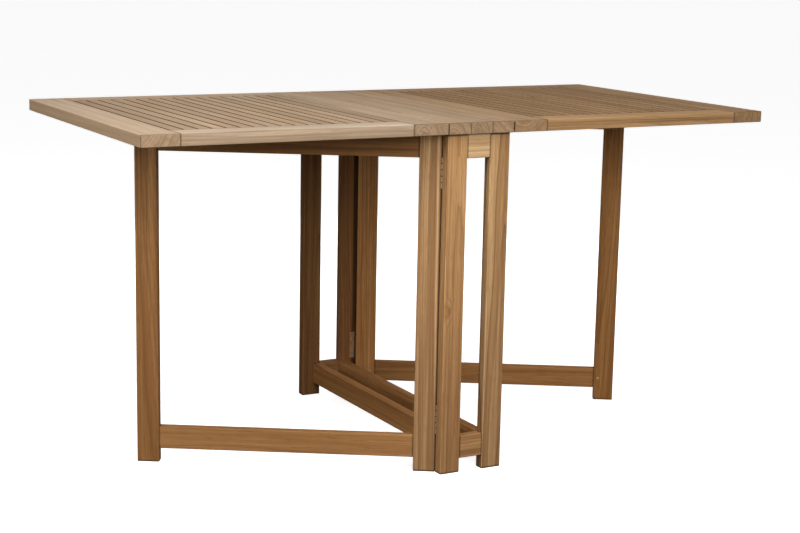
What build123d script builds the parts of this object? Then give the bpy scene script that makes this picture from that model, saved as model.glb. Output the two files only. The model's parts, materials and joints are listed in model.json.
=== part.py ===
from build123d import *
import math
import os

# A drop-leaf garden table in hardwood, standing open: a narrow centre frame,
# two slatted leaves hinged to a fixed centre top, and two gates that swing out
# to carry the leaves. Millimetres, +Z up, +X along the table, -Y its front.
# The origin is on the floor under the middle of the top.

# ---- table top ----
table_height = 740.0
table_depth = 724.0
top_thickness = 24.0
centre_overhang = 3.25        # frame's side out to the edge of the centre top
centre_board_count = 3
leaf_length = 649.0
leaf_joint_gap = 2.0          # open joint between the centre top and a leaf
leaf_stile_width = 78.0
leaf_rail_width = 60.0
slat_count = 17
slat_gap = 3.5
slat_thickness = 15.0
slat_tongue_length = 8.0
slat_tongue_thickness = 7.0
slat_tongue_rise = 2.0        # underside of a slat up to its tongue
leaf_tenon_length = 35.0
leaf_tenon_thickness = 8.0
leaf_tenon_edge = 8.0         # outer edge of a leaf's rail in to its tenon
leaf_tenon_wall = 4.0         # slat groove to the tenon
leaf_peg_from_shoulder = 15.0
leaf_peg_spread = 9.0         # the tenon's middle out to each of its pegs
leaf_corner_radius = 5.0
batten_width = 66.0
batten_inner_lap = 35.0       # the batten's end let up into the inner stile
batten_outer_lap = 50.0       # and into the outer stile, past the stop block
batten_row_offset = 12.0      # middle of the batten over to its row of screws

# ---- centre frame ----
frame_width = 146.5
leg_width = 46.0              # along X
leg_thickness = 23.0          # along Y
leg_recess = 9.5              # edge of the top in to the face of a leg
top_rail_height = 50.5
bottom_rail_height = 48.0
bottom_rail_lift = 30.3       # floor up to the bottom rails
long_rail_thickness = 22.0
rail_setback = 0.5            # rails stand this far behind the faces of legs
tenon_shoulder = 6.0
short_tenon_length = 20.0
short_tenon_thickness = 10.0
long_tenon_cheek = 3.0        # each side of a long rail's tenon to the face
long_mortise_wall = 6.5       # wood left in front of a long rail's mortise
board_screw_margin = 12.0     # edge of the middle board in to its screws
side_screw_spacing = 210.0    # screws along a side rail, up into its board

# ---- gates ----
gate_thickness = 21.5
gate_stile_width = 47.0
gate_headroom = 0.4           # top of a gate up to the leaf that rests on it
gate_rail_space = 6.0         # closed gate to the long rails behind it
gate_end_space = 25.0         # closed gate's free end to the leg it closes on
gate_aim_inset = 39.2         # slats' outer end in to the point an open gate heads for
gate_tenon_length = 30.0
gate_tenon_thickness = 10.0
stop_block_length = 50.0
stop_block_width = 20.0
stop_block_height = 18.0
stop_block_from_end = 32.0    # free end of the gate back to the block's middle
stop_clearance = 0.3
stop_screw_spread = 15.0      # the block's middle out to each of its screws

# ---- hinges of the gates ----
gate_hinge_length = 65.0
gate_barrel_radius = 3.0
gate_pin_radius = 1.5
gate_plate_width = 18.0
gate_barrel_inset = 1.5       # face of the frame in to the pin's axis
gate_hinge_joint = 1.0        # closed gate's end to the leg
upper_hinge_drop = 30.0       # top rail's lower edge down to the hinge's middle
lower_hinge_rise = 36.5       # bottom rail's upper edge up to the hinge's middle

# ---- hinges of the leaves ----
leaf_hinge_length = 50.0
leaf_hinge_spacing = 240.0
leaf_barrel_radius = 2.5
leaf_pin_radius = 1.2
leaf_plate_width = 26.0

# ---- fittings and fits ----
plate_thickness = 1.5
plate_corner_radius = 3.0
plate_screw_edge = 5.0        # outer edge of a plate in to its middle screw
plate_screw_end = 11.0        # end of a plate in to its end screws
knuckle_count = 5
knuckle_gap = 0.3
pin_clearance = 0.05
plate_clearance = 0.1
barrel_clearance = 0.4
joinery_clearance = 0.15
mortise_end_gap = 0.5
peg_radius = 2.5
peg_length = 19.0
peg_from_shoulder = 10.0
long_peg_from_shoulder = 7.5
peg_clearance = 0.05
screw_clearance = 0.05
hinge_screw_length = 15.0
batten_screw_length = 16.0
stop_screw_wall = 2.0         # wood left in the batten over a stop screw's point
top_screw_length = 40.0
top_screw_grip = 26.0         # wood between a top screw's head and the top
counterbore_radius = 4.8
screw_head_radius = 3.4
screw_head_height = 2.4
screw_shank_radius = 1.7
screw_point_length = 4.25
screw_point_radius = 0.3
cross_span = 3.6              # recess for the screwdriver
cross_width = 0.8
cross_depth = 1.1
arris = 2.0                   # easing of legs, rails and stiles
top_arris = 1.4               # easing of the boards and slats of the top

# ---- places worked out from the sizes above ----
half_depth = table_depth / 2
half_frame = frame_width / 2
half_centre = half_frame + centre_overhang
underside = table_height - top_thickness
leg_front = half_depth - leg_recess
leg_back = leg_front - leg_thickness
leg_inner = half_frame - leg_width
leg_middle_y = (leg_front + leg_back) / 2
bottom_rail_top = bottom_rail_lift + bottom_rail_height
long_rail_outer = half_frame - gate_thickness - gate_rail_space
long_rail_inner = long_rail_outer - long_rail_thickness
slat_underside = table_height - slat_thickness
stop_screw_length = stop_block_height + slat_underside - underside - stop_screw_wall
leaf_inner_x = half_centre + leaf_joint_gap
leaf_outer_x = leaf_inner_x + leaf_length
slat_field_inner = leaf_inner_x + leaf_stile_width
slat_field_outer = leaf_outer_x - leaf_stile_width
slat_field_y = half_depth - leaf_rail_width

gate_top = underside - gate_headroom
gate_pin_x = -(half_frame - gate_barrel_inset)
gate_pin_y = -(leg_back - gate_hinge_joint / 2)
gate_face = -half_frame
gate_near_end = -(leg_back - gate_hinge_joint)
gate_far_end = leg_back - gate_end_space
gate_aim_x = slat_field_outer - gate_aim_inset
gate_angle = math.degrees(math.atan2(gate_aim_x + gate_pin_x, -gate_pin_y))

leaf_pin_x = -(half_centre + leaf_joint_gap / 2)
leaf_pin_z = underside + leaf_barrel_radius

up = (0, 0, 1)


# ---------------------------------------------------------------- wood shapes

def block(x0, x1, y0, y1, z0, z1):
    """A plain box between two corners, given in either order."""
    middle = Pos((x0 + x1) / 2, (y0 + y1) / 2, (z0 + z1) / 2)
    return middle * Box(abs(x1 - x0), abs(y1 - y0), abs(z1 - z0))


def eased(solid, radius=arris):
    """Every edge of a board rounded a little, as sanding leaves it."""
    return fillet(solid.edges(), radius)


def eased_along(solid, axis, radius=arris):
    """Only the long edges rounded: the ends of a rail butt against a stile."""
    return fillet(solid.edges().filter_by(axis), radius)


def grown(x0, x1, y0, y1, z0, z1, gap=joinery_clearance):
    """The mortise round a tenon of the given corners."""
    low_x, high_x = min(x0, x1), max(x0, x1)
    low_y, high_y = min(y0, y1), max(y0, y1)
    return block(low_x - gap, high_x + gap, low_y - gap, high_y + gap, z0 - gap, z1 + gap)


def rod(radius, length, place, direction=up):
    """A cylinder that starts at a place and runs along a direction."""
    plane = Plane(origin=place, z_dir=direction)
    return plane * Cylinder(radius, length, align=(Align.CENTER, Align.CENTER, Align.MIN))


def turned(shape):
    """The same piece on the other side of the table: half a turn about Z."""
    return Rot(0, 0, 180) * shape


def group(solids):
    """Like pieces kept together as separate solids of one part."""
    return Compound([solid for piece in solids for solid in piece.solids()])


# ---------------------------------------------------------------- fasteners

def screw(length, place, direction):
    """A countersunk wood screw with a cross recess; place is its head's face."""
    plane = Plane(origin=place, z_dir=direction)
    low = (Align.CENTER, Align.CENTER, Align.MIN)
    tip = screw_point_length
    shank = length - screw_head_height - tip
    head = Cone(screw_head_radius, screw_shank_radius, screw_head_height, align=low)
    body = Pos(0, 0, screw_head_height) * Cylinder(screw_shank_radius, shank, align=low)
    point = Pos(0, 0, length - tip) * Cone(screw_shank_radius, screw_point_radius, tip, align=low)
    arm = Box(cross_span, cross_width, 2 * cross_depth)
    cross = arm + Rot(0, 0, 90) * arm
    return plane * (head + body + point - cross)


def screw_hole(length, place, direction):
    """The countersunk hole that a screw fills."""
    plane = Plane(origin=place, z_dir=direction)
    low = (Align.CENTER, Align.CENTER, Align.MIN)
    gap = screw_clearance
    sink = Cone(screw_head_radius + gap, screw_shank_radius + gap, screw_head_height, align=low)
    shaft = Cylinder(screw_shank_radius + gap, length + mortise_end_gap, align=low)
    return plane * (sink + shaft)


def peg(place, direction):
    """A hardwood peg driven through a tenon, level with the face."""
    return rod(peg_radius, peg_length, place, direction)


def peg_hole(place, direction):
    return rod(peg_radius + peg_clearance, peg_length + mortise_end_gap, place, direction)


# ---------------------------------------------------------------- hinges
# A hinge is made with its pin along Z at the origin, the plates running along
# +X. The fixed plate lies on the -Y side and the moving one on the +Y side.

def knuckle(length, index, radius):
    pitch = length / knuckle_count
    bottom = -length / 2 + index * pitch + knuckle_gap / 2
    return rod(radius, pitch - knuckle_gap, (0, 0, bottom))


def butt_plate(length, width, radius, pin_radius, level, first):
    """One leaf of a butt hinge: plate and every other knuckle from the first.

    level is the distance of the plate's outer face from the pin's axis.
    """
    bore = rod(pin_radius + pin_clearance, length + 2, (0, 0, -length / 2 - 1))
    plate = block(0, width, -level, plate_thickness - level, -length / 2, length / 2)
    corners = plate.edges().filter_by(Axis.Y).group_by(Axis.X)[-1]
    plate = fillet(corners, plate_corner_radius)
    for index in range(knuckle_count):
        barrel = knuckle(length, index, radius)
        if index % 2 == first:
            plate = plate + barrel
        else:
            pitch = length / knuckle_count
            bottom = -length / 2 + index * pitch - knuckle_gap / 2
            plate = plate - rod(radius + knuckle_gap, pitch + knuckle_gap, (0, 0, bottom))
    return plate - bore


def plate_pocket(length, width, level, radius):
    """The wood cut away for a plate and for the barrel."""
    gap = plate_clearance
    recess = block(0, width + gap, -level, plate_thickness - level, -length / 2 - gap, length / 2 + gap)
    barrel = rod(radius + barrel_clearance, length + 2, (0, 0, -length / 2 - 1))
    return recess + barrel


def plate_screw_spots(length, width):
    """Three screws in a plate, the middle one set further out."""
    near, far, height = width / 2, width - plate_screw_edge, length / 2 - plate_screw_end
    return [(near, -height), (far, 0.0), (near, height)]


def drilled_plate(plate, length, width, face, inward):
    for along, height in plate_screw_spots(length, width):
        plate = plate - screw_hole(hinge_screw_length, (along, face, height), inward)
    return plate


def plate_screws(length, width, face, inward, tool):
    return [tool(hinge_screw_length, (along, face, height), inward)
            for along, height in plate_screw_spots(length, width)]


def mirrored(shape):
    """The other plate of the hinge: reflected in the plane of the joint."""
    return mirror(shape, Plane.XZ)


# The two plates of a gate hinge lie back to back when the gate is closed, each
# let into its own piece of wood, so the plate's joint face is nearest the pin.
gate_plate_level = gate_hinge_joint / 2 + plate_thickness
gate_hinge_face = -gate_hinge_joint / 2
gate_hinge_sizes = (gate_hinge_length, gate_plate_width)
gate_hinge_heights = [bottom_rail_top + lower_hinge_rise,
                      gate_top - top_rail_height - upper_hinge_drop]
into_leg = (0, -1, 0)


def gate_hinge_places(shape):
    """Copies of one piece of a gate hinge, at the lower and the upper hinge."""
    return [Pos(gate_pin_x, gate_pin_y, height) * shape for height in gate_hinge_heights]


def gate_plate(first):
    """A gate hinge plate on its fixed side."""
    plate = butt_plate(*gate_hinge_sizes, gate_barrel_radius, gate_pin_radius, gate_plate_level, first)
    return drilled_plate(plate, *gate_hinge_sizes, gate_hinge_face, into_leg)


def gate_pocket():
    pocket = plate_pocket(*gate_hinge_sizes, gate_plate_level, gate_barrel_radius)
    for hole in plate_screws(*gate_hinge_sizes, gate_hinge_face, into_leg, screw_hole):
        pocket = pocket + hole
    return pocket


def gate_screws():
    return plate_screws(*gate_hinge_sizes, gate_hinge_face, into_leg, screw)


# A leaf hinge lies under the joint with its barrel let up into it. Its own
# frame is turned so that its pin runs along Y and its plates face down.
leaf_hinge_sizes = (leaf_hinge_length, leaf_plate_width)
leaf_hinge_places_y = [-leaf_hinge_spacing, 0.0, leaf_hinge_spacing]
into_wood = (0, 1, 0)


def leaf_hinge_at(shape, place_y, outward):
    """Lay a leaf hinge piece under the left joint; outward is the leaf's side."""
    flat = Rot(90, 0, 0) * shape
    side = mirror(flat, Plane.YZ) if outward else flat
    return Pos(leaf_pin_x, place_y, leaf_pin_z) * side


def leaf_hinge_row(shape, outward):
    return [leaf_hinge_at(shape, place_y, outward) for place_y in leaf_hinge_places_y]


def leaf_plate(first):
    plate = butt_plate(*leaf_hinge_sizes, leaf_barrel_radius, leaf_pin_radius,
                       leaf_barrel_radius, first)
    return drilled_plate(plate, *leaf_hinge_sizes, -leaf_barrel_radius, into_wood)


def leaf_pocket():
    pocket = plate_pocket(*leaf_hinge_sizes, leaf_barrel_radius, leaf_barrel_radius)
    for hole in plate_screws(*leaf_hinge_sizes, -leaf_barrel_radius, into_wood, screw_hole):
        pocket = pocket + hole
    return pocket


def leaf_plate_screws():
    return plate_screws(*leaf_hinge_sizes, -leaf_barrel_radius, into_wood, screw)


def pin(length, radius):
    """The pin of a hinge, as long as its barrel."""
    return rod(radius, length, (0, 0, -length / 2))


# ---------------------------------------------------------------- centre frame
# Two rails meet in each leg at the same height, so their tenons are stacked:
# the short rail's tenon below, the long rail's above.

def stacked_tenons(rail_bottom, rail_height):
    """Heights of the lower and the upper tenon of a rail."""
    height = (rail_height - 3 * tenon_shoulder) / 2
    lower = (rail_bottom + tenon_shoulder, rail_bottom + tenon_shoulder + height)
    upper = (rail_bottom + rail_height - tenon_shoulder - height,
             rail_bottom + rail_height - tenon_shoulder)
    return lower, upper


rail_levels = {"bottom": (bottom_rail_lift, bottom_rail_height),
               "top": (underside - top_rail_height, top_rail_height)}
short_tenon_y = (-(leg_middle_y - short_tenon_thickness / 2),
                 -(leg_middle_y + short_tenon_thickness / 2))
long_tenon_x = (-(leg_inner + long_tenon_cheek), -(long_rail_outer - long_tenon_cheek))
long_tenon_reach = leg_front - long_mortise_wall - mortise_end_gap


def short_peg(rail_bottom, rail_height):
    """Face point and direction of the peg through a short rail's tenon."""
    lower, upper = stacked_tenons(rail_bottom, rail_height)
    return (-(leg_inner + peg_from_shoulder), -leg_back, sum(lower) / 2), (0, -1, 0)


def long_peg(rail_bottom, rail_height):
    """Face point and direction of the peg through a long rail's tenon."""
    lower, upper = stacked_tenons(rail_bottom, rail_height)
    return (-leg_inner, -(leg_back + long_peg_from_shoulder), sum(upper) / 2), (-1, 0, 0)


def left_front_leg(hinged):
    """The leg at the front left corner, with its four mortises."""
    leg = eased(block(-half_frame, -leg_inner, -leg_front, -leg_back, 0, underside))
    for rail_bottom, rail_height in rail_levels.values():
        lower, upper = stacked_tenons(rail_bottom, rail_height)
        short_end = -(leg_inner + short_tenon_length + mortise_end_gap)
        long_end = -(long_tenon_reach + mortise_end_gap)
        leg = leg - grown(-leg_inner + 1, short_end, *short_tenon_y, *lower)
        leg = leg - grown(*long_tenon_x, -leg_back + 1, long_end, *upper)
        leg = leg - peg_hole(*short_peg(rail_bottom, rail_height))
        leg = leg - peg_hole(*long_peg(rail_bottom, rail_height))
    if hinged:
        for pocket in gate_hinge_places(gate_pocket()):
            leg = leg - pocket
    return leg


def frame_short_rail(level):
    """A front rail between the legs, with a tenon at each end."""
    rail_bottom, rail_height = rail_levels[level]
    lower, upper = stacked_tenons(rail_bottom, rail_height)
    face = -(leg_front - rail_setback)
    back = -(leg_back + rail_setback)
    rail = block(-leg_inner, leg_inner, face, back, rail_bottom, rail_bottom + rail_height)
    rail = eased_along(rail, Axis.X)
    tenon_end = leg_inner + short_tenon_length
    rail = rail + block(-tenon_end, tenon_end, *short_tenon_y, *lower)
    place, direction = short_peg(rail_bottom, rail_height)
    opposite = (-place[0], place[1], place[2])
    rail = rail - peg_hole(place, direction) - peg_hole(opposite, direction)
    if level == "top":
        for spot in short_top_screw_spots():
            rail = rail - top_screw_hole(spot)
    return rail


def frame_long_rail(level):
    """A side rail on the left, between the front and the rear leg."""
    rail_bottom, rail_height = rail_levels[level]
    lower, upper = stacked_tenons(rail_bottom, rail_height)
    rail = block(-long_rail_outer, -long_rail_inner, -leg_back, leg_back,
                 rail_bottom, rail_bottom + rail_height)
    rail = eased_along(rail, Axis.Y)
    rail = rail + block(*long_tenon_x, -long_tenon_reach, long_tenon_reach, *upper)
    place, direction = long_peg(rail_bottom, rail_height)
    opposite = (place[0], -place[1], place[2])
    rail = rail - peg_hole(place, direction) - peg_hole(opposite, direction)
    if level == "top":
        for spot in long_top_screw_spots():
            rail = rail - top_screw_hole(spot)
    return rail


def short_top_screw_spots():
    """Screws from a front rail up into the middle board."""
    spread = half_centre / centre_board_count - board_screw_margin
    return [(-spread, -leg_middle_y), (spread, -leg_middle_y)]


def long_top_screw_spots():
    """Screws from the left rail up into the left board."""
    middle = -(long_rail_outer + long_rail_inner) / 2
    return [(middle, -side_screw_spacing), (middle, 0.0), (middle, side_screw_spacing)]


def top_screw_hole(spot):
    """A counterbore in a rail and the screw's hole on up into the top."""
    seat = (*spot, underside - top_screw_grip)
    low = (*spot, underside - top_rail_height - 1)
    deep = top_rail_height + 1 - top_screw_grip
    return screw_hole(top_screw_length, seat, up) + rod(counterbore_radius, deep, low)


def all_top_screw_spots():
    near = short_top_screw_spots() + long_top_screw_spots()
    return near + [(-x, -y) for x, y in near]


def centre_board(index):
    """One of the boards of the fixed centre top, counted from the left."""
    width = 2 * half_centre / centre_board_count
    left = -half_centre + index * width
    solid = block(left, left + width, -half_depth, half_depth, underside, table_height)
    solid = eased(solid, top_arris)
    for spot in all_top_screw_spots():
        solid = solid - screw_hole(top_screw_length, (*spot, underside - top_screw_grip), up)
    if index == 0:
        for pocket in leaf_hinge_row(leaf_pocket(), False):
            solid = solid - pocket
    if index == centre_board_count - 1:
        for pocket in leaf_hinge_row(leaf_pocket(), False):
            solid = solid - turned(pocket)
    return solid


def frame_pegs():
    """Sixteen pegs: one through each tenon of the eight rails."""
    pegs = []
    for rail_bottom, rail_height in rail_levels.values():
        for place, direction in (short_peg(rail_bottom, rail_height), long_peg(rail_bottom, rail_height)):
            corner = peg(place, direction)
            pair = [corner, mirror(corner, Plane.YZ)]
            pegs += pair + [turned(solid) for solid in pair]
    return group(pegs)


# ---------------------------------------------------------------- gates
# A gate is made closed, along the left side of the frame, and swung open.

def swung(shape):
    """Swing the closed left gate out about its hinge pins."""
    about_pin = Pos(gate_pin_x, gate_pin_y, 0) * Rot(0, 0, gate_angle) * Pos(-gate_pin_x, -gate_pin_y, 0)
    return about_pin * shape


def swung_point(x, y):
    """Where a point of the closed gate comes when the gate is open."""
    turn = math.radians(gate_angle)
    along, across = x - gate_pin_x, y - gate_pin_y
    return (gate_pin_x + along * math.cos(turn) - across * math.sin(turn),
            gate_pin_y + along * math.sin(turn) + across * math.cos(turn))


gate_back = gate_face + gate_thickness
gate_middle_x = gate_face + gate_thickness / 2
gate_tenon_x = (gate_middle_x - gate_tenon_thickness / 2, gate_middle_x + gate_tenon_thickness / 2)
gate_levels = {"bottom": (bottom_rail_lift, bottom_rail_top),
               "top": (gate_top - top_rail_height, gate_top)}
gate_shoulders = (gate_near_end + gate_stile_width, gate_far_end - gate_stile_width)


def gate_tenon_level(level):
    low, high = gate_levels[level]
    return low + tenon_shoulder, high - tenon_shoulder


def gate_peg_places(shoulder, outward):
    """Pegs go in from the side that faces the frame when the gate is closed."""
    spots = []
    for level in gate_levels:
        height = sum(gate_tenon_level(level)) / 2
        spots.append(((gate_back, shoulder + outward * peg_from_shoulder, height), (-1, 0, 0)))
    return spots


def gate_post(near, far, shoulder, outward):
    """An upright of the gate, with the mortises for both rails."""
    post = eased(block(gate_face, gate_back, near, far, 0, gate_top))
    mortise_end = shoulder + outward * (gate_tenon_length + mortise_end_gap)
    for level in gate_levels:
        post = post - grown(*gate_tenon_x, shoulder - outward, mortise_end, *gate_tenon_level(level))
    for spot in gate_peg_places(shoulder, outward):
        post = post - peg_hole(*spot)
    return post


def gate_hinge_post():
    post = gate_post(gate_near_end, gate_shoulders[0], gate_shoulders[0], -1)
    for pocket in gate_hinge_places(mirrored(gate_pocket())):
        post = post - pocket
    return swung(post)


def gate_outer_leg():
    return swung(gate_post(gate_shoulders[1], gate_far_end, gate_shoulders[1], 1))


def gate_rail(level):
    low, high = gate_levels[level]
    near, far = gate_shoulders
    rail = block(gate_face + rail_setback, gate_back - rail_setback, near, far, low, high)
    rail = eased_along(rail, Axis.Y)
    tenon_low, tenon_high = gate_tenon_level(level)
    rail = rail + block(*gate_tenon_x, near - gate_tenon_length, far + gate_tenon_length,
                        tenon_low, tenon_high)
    for spot in gate_peg_places(near, -1) + gate_peg_places(far, 1):
        rail = rail - peg_hole(*spot)
    return swung(rail)


def gate_pegs():
    spots = gate_peg_places(gate_shoulders[0], -1) + gate_peg_places(gate_shoulders[1], 1)
    return swung(group([peg(*spot) for spot in spots]))


def gate_moving_plates():
    return swung(group(gate_hinge_places(mirrored(gate_plate(1)))))


def gate_pins():
    return swung(group(gate_hinge_places(pin(gate_hinge_length, gate_pin_radius))))


def gate_moving_screws():
    shape = mirrored(group(gate_screws()))
    return swung(group(gate_hinge_places(shape)))


# ---------------------------------------------------------------- leaves
# The left leaf: two stiles along Y, two rails, slats tongued into the rails,
# and a batten under the slats, over the place where the open gate's leg stands.

stop_middle = (gate_face - stop_clearance - stop_block_width / 2, gate_far_end - stop_block_from_end)
leaf_leg_middle = (gate_middle_x, gate_far_end - gate_stile_width / 2)
batten_y = (swung_point(*stop_middle)[1] + swung_point(*leaf_leg_middle)[1]) / 2
batten_row_y = batten_y + batten_row_offset
leaf_tenon_z = (underside + (top_thickness - leaf_tenon_thickness) / 2,
                underside + (top_thickness + leaf_tenon_thickness) / 2)
rail_groove_depth = slat_tongue_length + mortise_end_gap
leaf_tenon_y = (half_depth - leaf_tenon_edge, slat_field_y + rail_groove_depth + leaf_tenon_wall)
slat_pitch = (slat_field_outer - slat_field_inner - slat_gap) / slat_count
slat_width = slat_pitch - slat_gap


def leaf_peg_spots():
    """Two pegs up through each of the leaf's four tenons."""
    spots = []
    middle = sum(leaf_tenon_y) / 2
    for x in (slat_field_inner - leaf_peg_from_shoulder, slat_field_outer + leaf_peg_from_shoulder):
        for y in (middle - leaf_peg_spread, middle + leaf_peg_spread):
            spots += [(-x, y), (-x, -y)]
    return spots


def leaf_peg(spot):
    return peg((*spot, underside), up)


def cut_leaf_pegs(solid):
    for spot in leaf_peg_spots():
        solid = solid - peg_hole((*spot, underside), up)
    return solid


def batten_box(x0, x1):
    return x0, x1, batten_y - batten_width / 2, batten_y + batten_width / 2, underside, slat_underside


def batten_screw_spots():
    """One screw up into each slat and one into each stile."""
    ends = [-slat_field_outer - batten_outer_lap / 2, -slat_field_inner + batten_inner_lap / 2]
    middles = [slat_middle(index) for index in range(slat_count)]
    return [(x, batten_row_y, underside) for x in ends + middles]


def batten_screw_hole(spot):
    return screw_hole(batten_screw_length, spot, up)


def leaf_stile(x_near, x_far, field_x, outward, batten_lap):
    """A stile along Y with its rail mortises; outward is -1 or 1 along X."""
    stile = block(x_near, x_far, -half_depth, half_depth, underside, table_height)
    if outward < 0:
        corners = stile.edges().filter_by(Axis.Z).group_by(Axis.X)[0]
        stile = fillet(corners, leaf_corner_radius)
    rims = stile.faces().filter_by(Axis.Z).edges()
    stile = fillet(rims, top_arris)
    mortise_end = field_x + outward * (leaf_tenon_length + mortise_end_gap)
    for side in (-1, 1):
        near, far = side * leaf_tenon_y[0], side * leaf_tenon_y[1]
        stile = stile - grown(field_x - outward, mortise_end, near, far, *leaf_tenon_z)
    lap_end = field_x + outward * (batten_lap + mortise_end_gap)
    stile = stile - grown(*batten_box(field_x - outward, lap_end))
    stile = stile - batten_screw_hole((field_x + outward * batten_lap / 2, batten_row_y, underside))
    return cut_leaf_pegs(stile)


def leaf_outer_stile():
    return leaf_stile(-leaf_outer_x, -slat_field_outer, -slat_field_outer, -1, batten_outer_lap)


def leaf_inner_stile():
    stile = leaf_stile(-leaf_inner_x, -slat_field_inner, -slat_field_inner, 1, batten_inner_lap)
    for pocket in leaf_hinge_row(leaf_pocket(), True):
        stile = stile - pocket
    return stile


def leaf_rail(side):
    """The front (side -1) or rear (side 1) rail of the left leaf."""
    outer, inner = side * half_depth, side * slat_field_y
    rail = block(-slat_field_outer, -slat_field_inner, outer, inner, underside, table_height)
    rail = eased_along(rail, Axis.X, top_arris)
    tenon_y = (side * leaf_tenon_y[0], side * leaf_tenon_y[1])
    rail = rail + block(-slat_field_outer - leaf_tenon_length, -slat_field_inner + leaf_tenon_length,
                        *tenon_y, *leaf_tenon_z)
    groove_low = slat_underside + slat_tongue_rise
    groove = grown(-slat_field_outer - 1, -slat_field_inner + 1,
                   inner - side, inner + side * rail_groove_depth,
                   groove_low, groove_low + slat_tongue_thickness)
    return cut_leaf_pegs(rail - groove)


def slat_middle(index):
    return -slat_field_outer + slat_gap + slat_width / 2 + index * slat_pitch


def leaf_slat(index):
    """One slat, with a tongue at each end that sits in the rails' grooves."""
    middle = slat_middle(index)
    left, right = middle - slat_width / 2, middle + slat_width / 2
    solid = block(left, right, -slat_field_y, slat_field_y, slat_underside, table_height)
    solid = eased(solid, top_arris)
    tongue = slat_field_y + slat_tongue_length
    tongue_low = slat_underside + slat_tongue_rise
    solid = solid + block(left + top_arris, right - top_arris, -tongue, tongue,
                          tongue_low, tongue_low + slat_tongue_thickness)
    return solid - batten_screw_hole((middle, batten_row_y, underside))


def leaf_batten():
    """The batten under the slats, its ends let up into both stiles."""
    batten = block(*batten_box(-slat_field_outer - batten_outer_lap, -slat_field_inner + batten_inner_lap))
    batten = eased_along(batten, Axis.X, top_arris)
    for spot in batten_screw_spots():
        batten = batten - batten_screw_hole(spot)
    for spot in stop_screw_spots():
        batten = batten - screw_hole(stop_screw_length, (*spot, underside - stop_block_height), up)
    return batten


def stop_screw_spots():
    x, y = stop_middle
    return [swung_point(x, y - stop_screw_spread), swung_point(x, y + stop_screw_spread)]


def stop_block():
    """The block under the leaf that the gate's leg comes to rest against."""
    x, y = stop_middle
    solid = block(x - stop_block_width / 2, x + stop_block_width / 2,
                  y - stop_block_length / 2, y + stop_block_length / 2,
                  underside - stop_block_height, underside)
    solid = swung(eased(solid))
    for spot in stop_screw_spots():
        solid = solid - screw_hole(stop_screw_length, (*spot, underside - stop_block_height), up)
    return solid


def leaf_screws():
    """Screws of the batten, the stop block and the leaf's hinge plates."""
    screws = [screw(batten_screw_length, spot, up) for spot in batten_screw_spots()]
    screws += [screw(stop_screw_length, (*spot, underside - stop_block_height), up)
               for spot in stop_screw_spots()]
    screws += leaf_hinge_row(group(leaf_plate_screws()), True)
    return group(screws)


# ---------------------------------------------------------------- the parts

def both_sides(shape):
    """A piece on the left and its twin on the right."""
    return group([shape, turned(shape)])


def frame_parts():
    hinged_leg = left_front_leg(True)
    plain_leg = mirror(left_front_leg(False), Plane.YZ)
    parts = {
        "front_left_leg": hinged_leg,
        "front_right_leg": plain_leg,
        "rear_left_leg": turned(plain_leg),
        "rear_right_leg": turned(hinged_leg),
    }
    for level in rail_levels:
        short_rail = frame_short_rail(level)
        long_rail = frame_long_rail(level)
        parts[f"front_{level}_rail"] = short_rail
        parts[f"rear_{level}_rail"] = turned(short_rail)
        parts[f"left_{level}_rail"] = long_rail
        parts[f"right_{level}_rail"] = turned(long_rail)
    for index, name in enumerate(["left", "middle", "right"]):
        parts[f"centre_board_{name}"] = centre_board(index)
    parts["frame_pegs"] = frame_pegs()
    parts["top_screws"] = group([screw(top_screw_length, (*spot, underside - top_screw_grip), up)
                                 for spot in all_top_screw_spots()])
    parts["gate_hinge_fixed_plates"] = both_sides(group(gate_hinge_places(gate_plate(0))))
    parts["leaf_hinge_fixed_plates"] = both_sides(group(leaf_hinge_row(leaf_plate(0), False)))
    gate_side = gate_hinge_places(group(gate_screws()))
    leaf_side = leaf_hinge_row(group(leaf_plate_screws()), False)
    parts["frame_hinge_screws"] = both_sides(group(gate_side + leaf_side))
    return parts


def leaf_parts():
    return {
        "outer_stile": leaf_outer_stile(),
        "inner_stile": leaf_inner_stile(),
        "front_rail": leaf_rail(-1),
        "rear_rail": leaf_rail(1),
        "slats": group([leaf_slat(index) for index in range(slat_count)]),
        "batten": leaf_batten(),
        "stop_block": stop_block(),
        "pegs": group([leaf_peg(spot) for spot in leaf_peg_spots()]),
        "hinge_plates": group(leaf_hinge_row(leaf_plate(1), True)),
        "hinge_pins": group(leaf_hinge_row(pin(leaf_hinge_length, leaf_pin_radius), True)),
        "screws": leaf_screws(),
    }


def gate_parts():
    return {
        "hinge_post": gate_hinge_post(),
        "outer_leg": gate_outer_leg(),
        "top_rail": gate_rail("top"),
        "bottom_rail": gate_rail("bottom"),
        "pegs": gate_pegs(),
        "hinge_plates": gate_moving_plates(),
        "hinge_pins": gate_pins(),
        "screws": gate_moving_screws(),
    }


# Half a turn puts the left leaf's rear rail at the front of the right one.
swapped = {"front_rail": "rear_rail", "rear_rail": "front_rail"}

parts = frame_parts()
for kind, pieces in (("leaf", leaf_parts()), ("gate", gate_parts())):
    for name, shape in pieces.items():
        parts[f"left_{kind}_{name}"] = shape
        parts[f"right_{kind}_{swapped.get(name, name)}"] = turned(shape)

os.makedirs("parts", exist_ok=True)
for name, shape in parts.items():
    export_step(shape, f"parts/{name}.step")
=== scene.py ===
import json
import math
import random

import bpy
import numpy as np
from bpy.props import FloatProperty, FloatVectorProperty, PointerProperty
from mathutils import Euler, Matrix, Vector


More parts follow.
